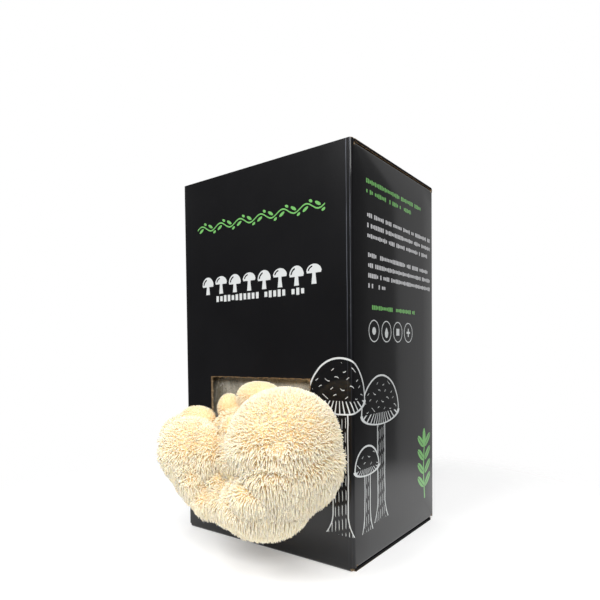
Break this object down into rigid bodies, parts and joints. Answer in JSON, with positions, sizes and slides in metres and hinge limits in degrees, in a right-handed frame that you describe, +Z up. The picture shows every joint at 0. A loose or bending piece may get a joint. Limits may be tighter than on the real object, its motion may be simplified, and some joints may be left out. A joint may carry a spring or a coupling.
{
  "type": "mushroom grow kit",
  "caption": "Windowed tuck-top carton holding a bagged mycelium block, with a spined lion's mane mushroom grown out through the window.",
  "frame": {"origin": "middle of the carton's underside, where it stands", "axes": "+Z up along the carton's height; the window panel faces -Y; +X is to the right seen from the window side"},
  "size_m": [0.1624, 0.202, 0.267],
  "materials": {
    "carton_board": "satin",
    "clear_film": "gloss",
    "mycelium": "matte",
    "mushroom_flesh": "matte"
  },
  "bodies": {
    "kit": {"carton": "carton_board", "grow_bag": "clear_film", "substrate_block": "mycelium", "mushroom": "mushroom_flesh"},
    "lid": {"lid": "carton_board"}
  },
  "joints": [
    {"name": "lid_hinge", "type": "hinge", "parent": "kit", "child": "lid", "pos_m": [0, 0.0635, 0.2645], "axis": [-1, 0, 0], "range_deg": [0, 180]}
  ]
}
